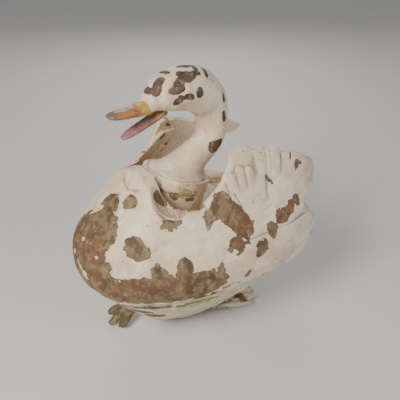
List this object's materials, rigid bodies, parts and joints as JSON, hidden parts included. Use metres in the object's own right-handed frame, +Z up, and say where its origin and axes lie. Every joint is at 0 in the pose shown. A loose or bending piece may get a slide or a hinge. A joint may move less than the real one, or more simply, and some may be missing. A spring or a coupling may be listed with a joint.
{
  "type": "swan decoy",
  "caption": "Hollow swan-shaped floating decoy with a keel, raised wings round an open back, a turning neck, a hinged lower bill and paddling webbed feet.",
  "frame": {"origin": "on the ground under the middle of the whole bird's box", "axes": "+Z up, the bird looks along -Y, its left side is +X"},
  "size_m": [0.2852, 0.4174, 0.434],
  "materials": {
    "cast_body": "thick cream-white paint, flaked to a brown and rust stained casting",
    "bill_orange": "worn orange paint with a grey metal tip",
    "bill_mauve": "worn mauve paint",
    "eye_metal": "bare dark metal with paint in the outline",
    "foot_casting": "dull paint, dark in the folds",
    "iron_keel": "painted and rusted iron",
    "gasket_rubber": "matt black sheet rubber",
    "brass": "dull brass",
    "steel": "plain turned steel",
    "bracket_casting": "dull casting"
  },
  "bodies": {
    "root": {"lower_hull": "cast_body", "upper_body": "cast_body", "hull_gasket": "gasket_rubber", "keel": "iron_keel", "ballast": "iron_keel", "tie_bolts": "steel", "tie_washers": "steel", "drain_plug": "brass", "drain_washer": "gasket_rubber", "left_wing": "cast_body", "right_wing": "cast_body", "wing_bolts": "steel", "tail": "cast_body", "tail_bolts": "steel", "neck_bush": "brass", "left_foot_bracket": "bracket_casting", "right_foot_bracket": "bracket_casting", "left_foot_pin": "steel", "right_foot_pin": "steel", "foot_screws": "steel"},
    "neck": {"neck": "cast_body", "head": "cast_body", "head_sleeve": "steel", "upper_bill": "bill_orange", "left_eye": "eye_metal", "right_eye": "eye_metal", "jaw_pin": "steel", "neck_spigot": "steel", "spigot_washer": "brass", "spigot_nut": "brass"},
    "jaw": {"lower_bill": "bill_mauve"},
    "left_foot": {"left_foot": "foot_casting"},
    "right_foot": {"right_foot": "foot_casting"}
  },
  "joints": [
    {"name": "neck_swivel", "type": "hinge", "parent": "root", "child": "neck", "pos_m": [0, -0.0385, 0.272], "axis": [0, 0.309, 0.9511], "range_deg": [-20, 20]},
    {"name": "jaw_hinge", "type": "hinge", "parent": "neck", "child": "jaw", "pos_m": [0, -0.0595, 0.374], "axis": [-1, 0, 0], "range_deg": [-4, 12]},
    {"name": "left_foot_swing", "type": "hinge", "parent": "root", "child": "left_foot", "pos_m": [0.044, 0.0095, 0.02], "axis": [1, 0, 0], "range_deg": [0, 8]},
    {"name": "right_foot_swing", "type": "hinge", "parent": "root", "child": "right_foot", "pos_m": [-0.038, -0.0995, 0.031], "axis": [-1, 0, 0], "range_deg": [0, 20]}
  ]
}
